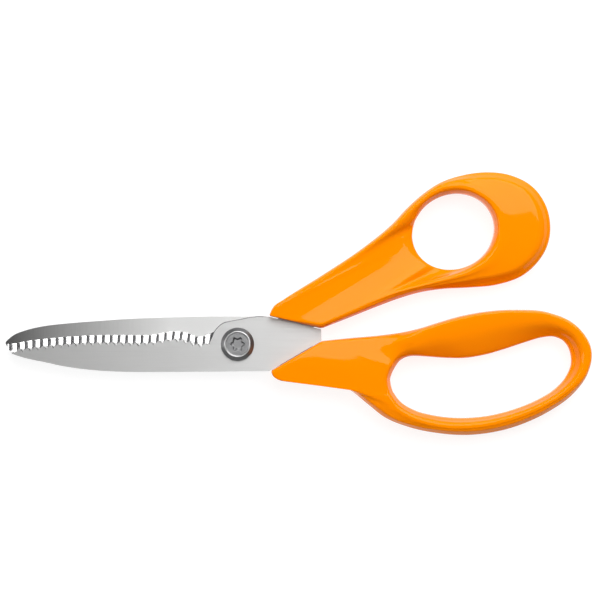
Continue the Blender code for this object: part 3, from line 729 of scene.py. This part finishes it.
def make_nut():
    in_face, up_side = NUT_CHAMFER
    profile = [
        (0, 0), (NUT_FLANGE_R - in_face, 0), (NUT_FLANGE_R, up_side), (NUT_FLANGE_R, NUT_FLANGE_T),
        (0, NUT_FLANGE_T),
    ]
    nut = turned("pivot_nut_turned", profile)
    top = MESH_Z - PLATE_OFFSET - NUT_SHORT
    boss = prism("nut_boss", polygon(NUT_HEX_R, 6), NUT_FLANGE_T - BOSS_SUNK, top)
    combine(nut, boss, "UNION")
    bore = SHANK_R + GAP
    low, high = NUT_BORE_FLOOR, top + PAST
    combine(nut, turned("nut_bore", [(0, low), (bore, low), (bore, high), (0, high)]))
    soften_edges(nut, NUT_EDGE)
    nut.data.materials.clear()
    steel_look = turned_steel("nut_steel", color=(0.5, 0.5, 0.505), roughness=0.36, bump=0.3)
    nut.data.materials.append(steel_look)
    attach(nut, FAR)
    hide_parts("pivot_nut")


def finish_rings():
    """The three rings on the shank keep their CAD shape and get their own metal or nylon."""
    spring = turned_steel("spring_steel", color=(0.3, 0.3, 0.32), roughness=0.3, bump=0.2)
    bronze = turned_steel("bush_bronze", color=(0.62, 0.44, 0.2), roughness=0.35, bump=0.3)
    nylon = Shader("glide_nylon", color=(0.8, 0.79, 0.74), roughness=0.45, metallic=0.0)
    speckle = nylon.stretched_noise((1500, 1500, 1500), 3.0)
    nylon.link(nylon.bump(speckle, 0.2, BUMP_DEPTH["nylon"] * MM), "Normal")
    looks = {"spring_washer": spring, "pivot_bush": bronze, "glide_washer": nylon.material}
    for node, look in looks.items():
        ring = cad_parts[node]
        ring.data.materials.clear()
        ring.data.materials.append(look)
        edges = ring.modifiers.new("edges", "BEVEL")
        edges.width = RING_EDGE * MM
        edges.segments = 2


# --- Handles ----------------------------------------------------------------------------------------

# Cross sections. A section runs from the hole's edge over the crest to the outer edge, and its eight
# numbers are: how far the rounding at the hole reaches, the height where it ends, the height of the
# inner face, how far that face bulges, the height of the crest, the height of the outer face, how far
# the rounding at the outer edge reaches, and the height where it ends.
SHAPES = {
    "bulb": (0.7, 4.6, 6.1, 0.0, 6.8, 5.35, 1.6, 2.7),
    "bridge": (0.9, 4.0, 5.4, 0.0, 6.2, 5.6, 0.7, 4.2),
    "shank": (1.6, 2.6, 4.5, 0.1, 5.6, 5.2, 0.5, 4.2),
    "collar": (1.6, 2.6, 4.5, 0.4, 5.9, 5.8, 0.25, 5.4),
    "crest": (1.6, 2.6, 4.6, 0.45, 6.7, 6.2, 0.6, 4.6),
    "scoop": (1.0, 1.2, 2.7, 0.1, 6.6, 5.7, 0.9, 4.0),
    "under": (0.8, 3.6, 5.3, 0.0, 6.7, 5.6, 1.4, 3.4),
    "band": (1.5, 2.6, 5.2, 0.3, 6.5, 6.3, 0.5, 5.2),
    "ring": (1.2, 3.6, 5.7, 0.0, 6.6, 5.9, 1.2, 4.0),
    "brow": (0.9, 4.2, 6.0, 0.0, 6.5, 5.4, 0.3, 4.9),
    "slope": (0.9, 4.0, 5.6, 0.0, 6.0, 5.25, 0.6, 4.3),
    "mouth": (0.9, 4.2, 6.0, 0.0, 6.5, 6.25, 0.25, 5.8),
    "plate": (0.9, 4.2, 6.0, 0.0, 6.6, 6.0, 0.7, 5.0),
    "flare": (0.9, 4.0, 5.9, 0.0, 6.6, 5.4, 1.3, 3.4),
}


def thumb_edge(degrees):
    angle = math.radians(degrees - THUMB_HOLE["tilt"])
    reach = 1 / math.hypot(math.cos(angle) / THUMB_HOLE["long"], math.sin(angle) / THUMB_HOLE["short"])
    x, y = polar_point(reach, math.radians(degrees))
    return (THUMB_HOLE["centre"][0] + x, THUMB_HOLE["centre"][1] + y)


# Each station is a point on the hole's edge, on the crest and on the outer edge, and a cross section.
THUMB_STATIONS = [
    (thumb_edge(0), (102.7, 44.3), (122.6, 44.5), "bulb"),
    (thumb_edge(18), (102.1, 49.8), (121.0, 54.0), "bulb"),
    (thumb_edge(36), (99.6, 54.6), (115.5, 61.8), "bulb"),
    (thumb_edge(54), (95.6, 58.1), (106.3, 66.4), "bulb"),
    (thumb_edge(72), (90.2, 60.9), (96.5, 67.37), "bulb"),
    (thumb_edge(90), (84.5, 61.8), (87.3, 66.0), "bulb"),
    (thumb_edge(108), (79.2, 60.8), (79.6, 63.4), "bridge"),
    (thumb_edge(126), (74.0, 57.9), (73.0, 59.2), "bridge"),
    (thumb_edge(144), (67.6, 52.4), (66.4, 53.4), "bridge"),
    (thumb_edge(160), (61.1, 45.6), (60.1, 46.7), "bridge"),
    (thumb_edge(172), (49.2, 36.1), (48.3, 37.2), "shank"),
    (thumb_edge(184), (33.8, 25.7), (33.0, 27.0), "shank"),
    (thumb_edge(192), (18.8, 15.9), (17.7, 17.4), "collar"),
    (thumb_edge(196), (15.7, 14.0), (14.1, 14.9), "collar"),
    (thumb_edge(199), (14.6, 12.2), (12.15, 11.05), "collar"),
    (thumb_edge(207), (23.1, 10.0), (22.5, 8.55), "collar"),
    (thumb_edge(215), (32.4, 7.9), (32.9, 6.05), "crest"),
    (thumb_edge(224), (42.5, 12.2), (43.0, 10.0), "crest"),
    (thumb_edge(234), (52.2, 16.7), (53.0, 14.0), "crest"),
    (thumb_edge(245), (61.7, 20.4), (62.3, 17.5), "scoop"),
    (thumb_edge(257), (71.2, 22.9), (71.0, 20.1), "scoop"),
    (thumb_edge(270), (80.7, 25.4), (80.0, 21.5), "scoop"),
    (thumb_edge(285), (89.6, 28.3), (90.7, 22.1), "under"),
    (thumb_edge(302), (96.8, 32.2), (101.5, 23.2), "bulb"),
    (thumb_edge(320), (100.8, 37.0), (112.0, 27.0), "bulb"),
    (thumb_edge(340), (102.4, 40.8), (120.2, 35.8), "bulb"),
]
THUMB_CORNERS = (14, 16)    # the stations where the outline turns sharply

FINGER_STATIONS = [
    ((130.8, -6.7), (136.9, -5.5), (138.54, -4.9), "band"),
    ((129.9, -1.9), (136.2, -0.8), (137.8, 0.0), "band"),
    ((127.9, 1.0), (133.9, 3.8), (135.3, 4.3), "band"),
    ((124.6, 2.7), (129.6, 7.6), (130.7, 8.7), "band"),
    ((119.5, 2.6), (121.0, 11.3), (121.0, 12.6), "band"),
    ((111.9, 0.4), (109.6, 12.3), (109.5, 13.5), "band"),
    ((104.0, -2.2), (98.1, 11.6), (98.0, 12.9), "band"),
    ((96.5, -4.3), (87.6, 9.7), (87.3, 11.0), "band"),
    ((88.5, -5.5), (78.6, 7.1), (78.2, 8.4), "band"),
    ((80.5, -5.4), (72.3, 4.9), (71.5, 6.3), "band"),
    ((73.5, -4.9), (66.4, 2.2), (64.8, 4.7), "ring"),
    ((67.6, -4.8), (61.8, -0.8), (55.3, 3.4), "slope"),
    ((63.9, -6.3), (59.3, -4.6), (44.0, 2.4), "slope"),
    ((61.9, -8.8), (57.9, -8.0), (32.9, 1.25), "brow"),
    ((60.3, -12.0), (56.8, -11.8), (22.9, -4.6), "mouth"),
    ((59.9, -15.0), (56.6, -15.2), (12.95, -10.4), "mouth"),
    ((60.2, -16.6), (57.0, -17.2), (13.8, -12.5), "mouth"),
    ((60.6, -17.9), (57.6, -18.6), (15.6, -13.8), "mouth"),
    ((61.4, -19.4), (58.6, -20.6), (27.0, -14.45), "plate"),
    ((62.4, -20.9), (59.9, -22.6), (36.0, -15.4), "plate"),
    ((64.0, -22.7), (61.6, -24.7), (43.5, -17.9), "flare"),
    ((66.5, -24.5), (64.5, -27.0), (50.6, -23.3), "flare"),
    ((70.5, -26.4), (69.3, -29.3), (57.5, -28.7), "flare"),
    ((76.0, -27.8), (75.5, -31.1), (67.1, -32.6), "flare"),
    ((83.0, -28.8), (83.0, -32.0), (78.0, -34.9), "ring"),
    ((91.0, -28.9), (91.5, -31.8), (89.3, -35.69), "ring"),
    ((100.1, -27.8), (101.0, -30.3), (101.5, -34.3), "ring"),
    ((109.5, -25.2), (110.5, -27.4), (112.5, -31.0), "ring"),
    ((117.5, -21.9), (119.5, -23.5), (122.3, -26.2), "ring"),
    ((124.2, -17.8), (127.7, -18.3), (130.8, -20.1), "ring"),
    ((128.6, -13.0), (133.6, -12.4), (136.2, -13.1), "band"),
]
FINGER_CORNERS = (13, 15)
HANDLE_SPACING = 0.9   # between sections
CORNER_SPACING = 0.2   # between those near a corner
CLOSEST = 0.05         # two sections are never nearer than this
SPAN_POINTS = 4        # points drawn for each control point of a section
CORNER_ROUND = 0.6     # how far along the outline a corner is blended
FACE_REACH = 8.0       # from the hole's edge to where the inner face begins, in a wide section
CREST_HALF = 1.3       # half the width of the crest's top, in a wide section
SNUG = 0.993           # keeps the finely drawn crests as low as the CAD's
FIT = 0.05             # the steel is moulded into the plastic, so hardly a gap shows


def section_frame(hole, crest, outer, shape):
    """Control points of the upper half of a section, from the hole's edge to the outer edge.

    The shares below keep the order of the points where a section is narrow.
    """
    inset_in, rim_in, face_in, bulge, top, face_out, inset_out, rim_out = shape
    inward = np.linalg.norm(crest - hole)
    outward = np.linalg.norm(outer - crest)

    def inside(distance, z):
        x, y = hole + (crest - hole) * distance / inward
        return (x, y, z)

    def outside(distance, z):
        x, y = crest + (outer - crest) * distance / outward
        return (x, y, z)

    face = min(FACE_REACH, 0.45 * inward)
    shoulder = min(CREST_HALF, 0.22 * inward)
    middle = (face + inward - shoulder) / 2
    edge = min(inset_out, 0.2 * outward)
    brow = outward - 2.2 * edge
    return [
        inside(0, 0),
        inside(0, 0.6 * rim_in),
        inside(min(inset_in, 0.3 * inward), rim_in),
        inside(face, face_in),
        inside(middle, (face_in + top) / 2 + bulge),
        inside(inward - shoulder, top),
        outside(min(CREST_HALF, 0.22 * outward), top),
        outside(0.5 * brow, (face_out + top) / 2),
        outside(0.8 * brow, 0.8 * face_out + 0.2 * top),
        outside(brow, face_out),
        outside(outward - edge, rim_out),
        outside(outward, 0.75 * rim_out),
        outside(outward, 0),
    ]


def rounded(control):
    """Points on the closed cubic B-spline of the control points."""
    control = np.array(control)
    before = np.roll(control, 1, axis=0)
    after = np.roll(control, -1, axis=0)
    later = np.roll(control, -2, axis=0)
    points = []
    for i in range(SPAN_POINTS):
        u = i / SPAN_POINTS
        points.append(
            (
                (1 - u) ** 3 * before
                + (3 * u**3 - 6 * u**2 + 4) * control
                + (-3 * u**3 + 3 * u**2 + 3 * u + 1) * after
                + u**3 * later
            )
            / 6
        )
    return np.stack(points, axis=1).reshape(-1, 3)


def handle(name, stations, corners):
    """The loft around the hole through all the stations, the same on its back as on its front."""
    rows = [[*hole, *crest, *outer, *SHAPES[shape]] for hole, crest, outer, shape in stations]
    rows = np.array(rows)
    knots = (chord_knots(rows[:, 4:6], True) + chord_knots(rows[:, 0:2], True)) / 2
    edge = smooth(rows[:, 0:2], knots, closed=True)
    rest = smooth(rows[:, 2:], knots, closed=True, corners=corners)
    length = knots[-1]

    def soft_rest(knot):
        near = min(abs(knot - knots[c]) for c in corners)
        reach = CORNER_ROUND * max(0.0, 1 - near / (3 * CORNER_ROUND))
        if reach == 0:
            return rest(knot)
        samples = [rest((knot + reach * k / 3) % length) for k in range(-3, 4)]
        return sum(samples) / len(samples)

    places = []
    for start, end in zip(knots[:-1], knots[1:]):
        count = max(1, round((end - start) / HANDLE_SPACING))
        places += [start + (end - start) * i / count for i in range(count)]
    for c in corners:
        places += [knots[c] + CORNER_SPACING * k for k in range(-8, 9) if k]
    places = sorted(p % length for p in places)
    after = places[1:] + [places[0] + length]
    places = [p for p, q in zip(places, after) if q - p > CLOSEST]
    vertices = []
    for knot in places:
        values = soft_rest(knot)
        upper = section_frame(edge(knot), values[0:2], values[2:4], values[4:])
        lower = [(x, y, -z) for x, y, z in reversed(upper[1:-1])]
        vertices += [(x, y, z * SNUG + MESH_Z) for x, y, z in rounded(upper + lower)]
    sections = len(places)
    size = len(vertices) // sections
    faces = []
    for i in range(sections):
        for j in range(size):
            a, b = i * size, (i + 1) % sections * size
            k = (j + 1) % size
            faces.append([a + j, a + k, b + k, b + j])
    return mesh_object(name, vertices, faces, sharp=60)


def make_handles():
    plastic = handle_plastic()
    inner = MESH_Z + PLATE_OFFSET
    near_pocket = grown(NEAR_TANG + NEAR_MOUTH, FIT)
    thumb = handle("thumb_handle_shell", THUMB_STATIONS, THUMB_CORNERS)
    combine(thumb, prism("thumb_pocket", near_pocket, inner - FIT, inner + PLATE_T + FIT))
    back = 2 * MESH_Z - inner
    far_pocket = [(x, -y) for x, y in reversed(grown(FAR_TANG + FAR_MOUTH, FIT))]
    finger = handle("finger_handle_shell", FINGER_STATIONS, FINGER_CORNERS)
    combine(finger, prism("finger_pocket", far_pocket, back - PLATE_T - FIT, back + FIT))
    for piece, node, body in ((thumb, "thumb_handle", NEAR), (finger, "finger_handle", FAR)):
        piece.data.materials.clear()
        piece.data.materials.append(plastic)
        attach(piece, body)
        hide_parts(node)


# --- Stage ------------------------------------------------------------------------------------------

LENS = 120.0
SENSOR = 36.0
FRAME_WIDTH = 0.2355   # metres across the picture, at the middle of the shears
VIEW_OFFSET = Vector((0.0008, 0.0014, 0.0))
FLOOR_DROP = 0.0002    # the floor is this far below the shears
FLOOR_HALF = 6.0       # half the length of its sides
FLOOR_GREY = 0.22
FLOOR_GLOW = 0.86
DOME = (0.045, 0.29)   # radiance at the horizon, and what it gains with height
SOFT_BOXES = (         # name, place, the point that it faces, width and height, radiance
    ("main_box", (0.36, 0.62, 0.85), (0.36, 0.0, 0.0), (1.1, 1.1), 3.6),
    ("left_strip", (-1.0, 0.0, 0.75), (0.03, 0.0, 0.0), (0.5, 1.2), 2.5),
)


def make_camera():
    low, high = CAD_BOUNDS
    data = bpy.data.cameras.new("camera")
    data.lens = LENS
    data.sensor_width = SENSOR
    data.clip_end = 20
    camera = bpy.data.objects.new("camera", data)
    centre = (low + high) / 2 + VIEW_OFFSET
    camera.location = centre + Vector((0, 0, FRAME_WIDTH * LENS / SENSOR))
    bpy.context.scene.collection.objects.link(camera)
    bpy.context.scene.camera = camera


def area_light(name, place, target, size, radiance):
    """A rectangular soft box whose face shines with about the given radiance."""
    data = bpy.data.lights.new(name, "AREA")
    data.shape = "RECTANGLE"
    data.size, data.size_y = size
    data.energy = 4 * radiance * size[0] * size[1]
    light = bpy.data.objects.new(name, data)
    light.location = place
    aim = Vector(target) - Vector(place)
    light.rotation_euler = aim.to_track_quat("-Z", "Y").to_euler()
    bpy.context.scene.collection.objects.link(light)


def make_dome(horizon, flank):
    """A faint world that is dark overhead, brightest halfway up and dimmer again at the horizon.

    Its radiance is (1 - z * z) * (horizon + flank * z), where z is the height of the direction.
    """
    world = bpy.data.worlds.new("studio")
    bpy.context.scene.world = world
    world.use_nodes = True
    tree = world.node_tree
    place = tree.nodes.new("ShaderNodeTexCoord")
    split = tree.nodes.new("ShaderNodeSeparateXYZ")
    tree.links.new(place.outputs["Generated"], split.inputs[0])
    height = split.outputs["Z"]

    def math_node(operation, *values):
        made = tree.nodes.new("ShaderNodeMath")
        made.operation = operation
        for socket, value in zip(made.inputs, values):
            if isinstance(value, bpy.types.NodeSocket):
                tree.links.new(value, socket)
            else:
                socket.default_value = value
        return made.outputs[0]

    square = math_node("MULTIPLY", height, height)
    fall = math_node("SUBTRACT", 1.0, square)
    rise = math_node("MULTIPLY_ADD", math_node("MAXIMUM", height, 0.0), flank, horizon)
    background = tree.nodes["Background"]
    background.inputs["Color"].default_value = (1, 1, 1, 1)
    tree.links.new(math_node("MULTIPLY", fall, rise), background.inputs["Strength"])


def make_stage():
    """A white floor that glows a little, so that shadows on it stay faint, and the studio's light."""
    floor_z = CAD_BOUNDS[0].z - FLOOR_DROP
    mesh = bpy.data.meshes.new("floor")
    corners = [(x * FLOOR_HALF, y * FLOOR_HALF, floor_z) for x, y in ((-1, -1), (1, -1), (1, 1), (-1, 1))]
    mesh.from_pydata(corners, [], [[0, 1, 2, 3]])
    shader = Shader("floor_white", (FLOOR_GREY, FLOOR_GREY, FLOOR_GREY), 0.9, 0.0)
    shader.set("Emission Color", (1, 1, 1, 1))
    shader.set("Emission Strength", FLOOR_GLOW)
    mesh.materials.append(shader.material)
    floor = bpy.data.objects.new("floor", mesh)
    bpy.context.scene.collection.objects.link(floor)
    make_dome(*DOME)
    for box in SOFT_BOXES:
        area_light(*box)
    bpy.context.scene.view_settings.view_transform = "Standard"


make_camera()
make_stage()
make_handles()
make_blades()
make_screw()
make_nut()
finish_rings()
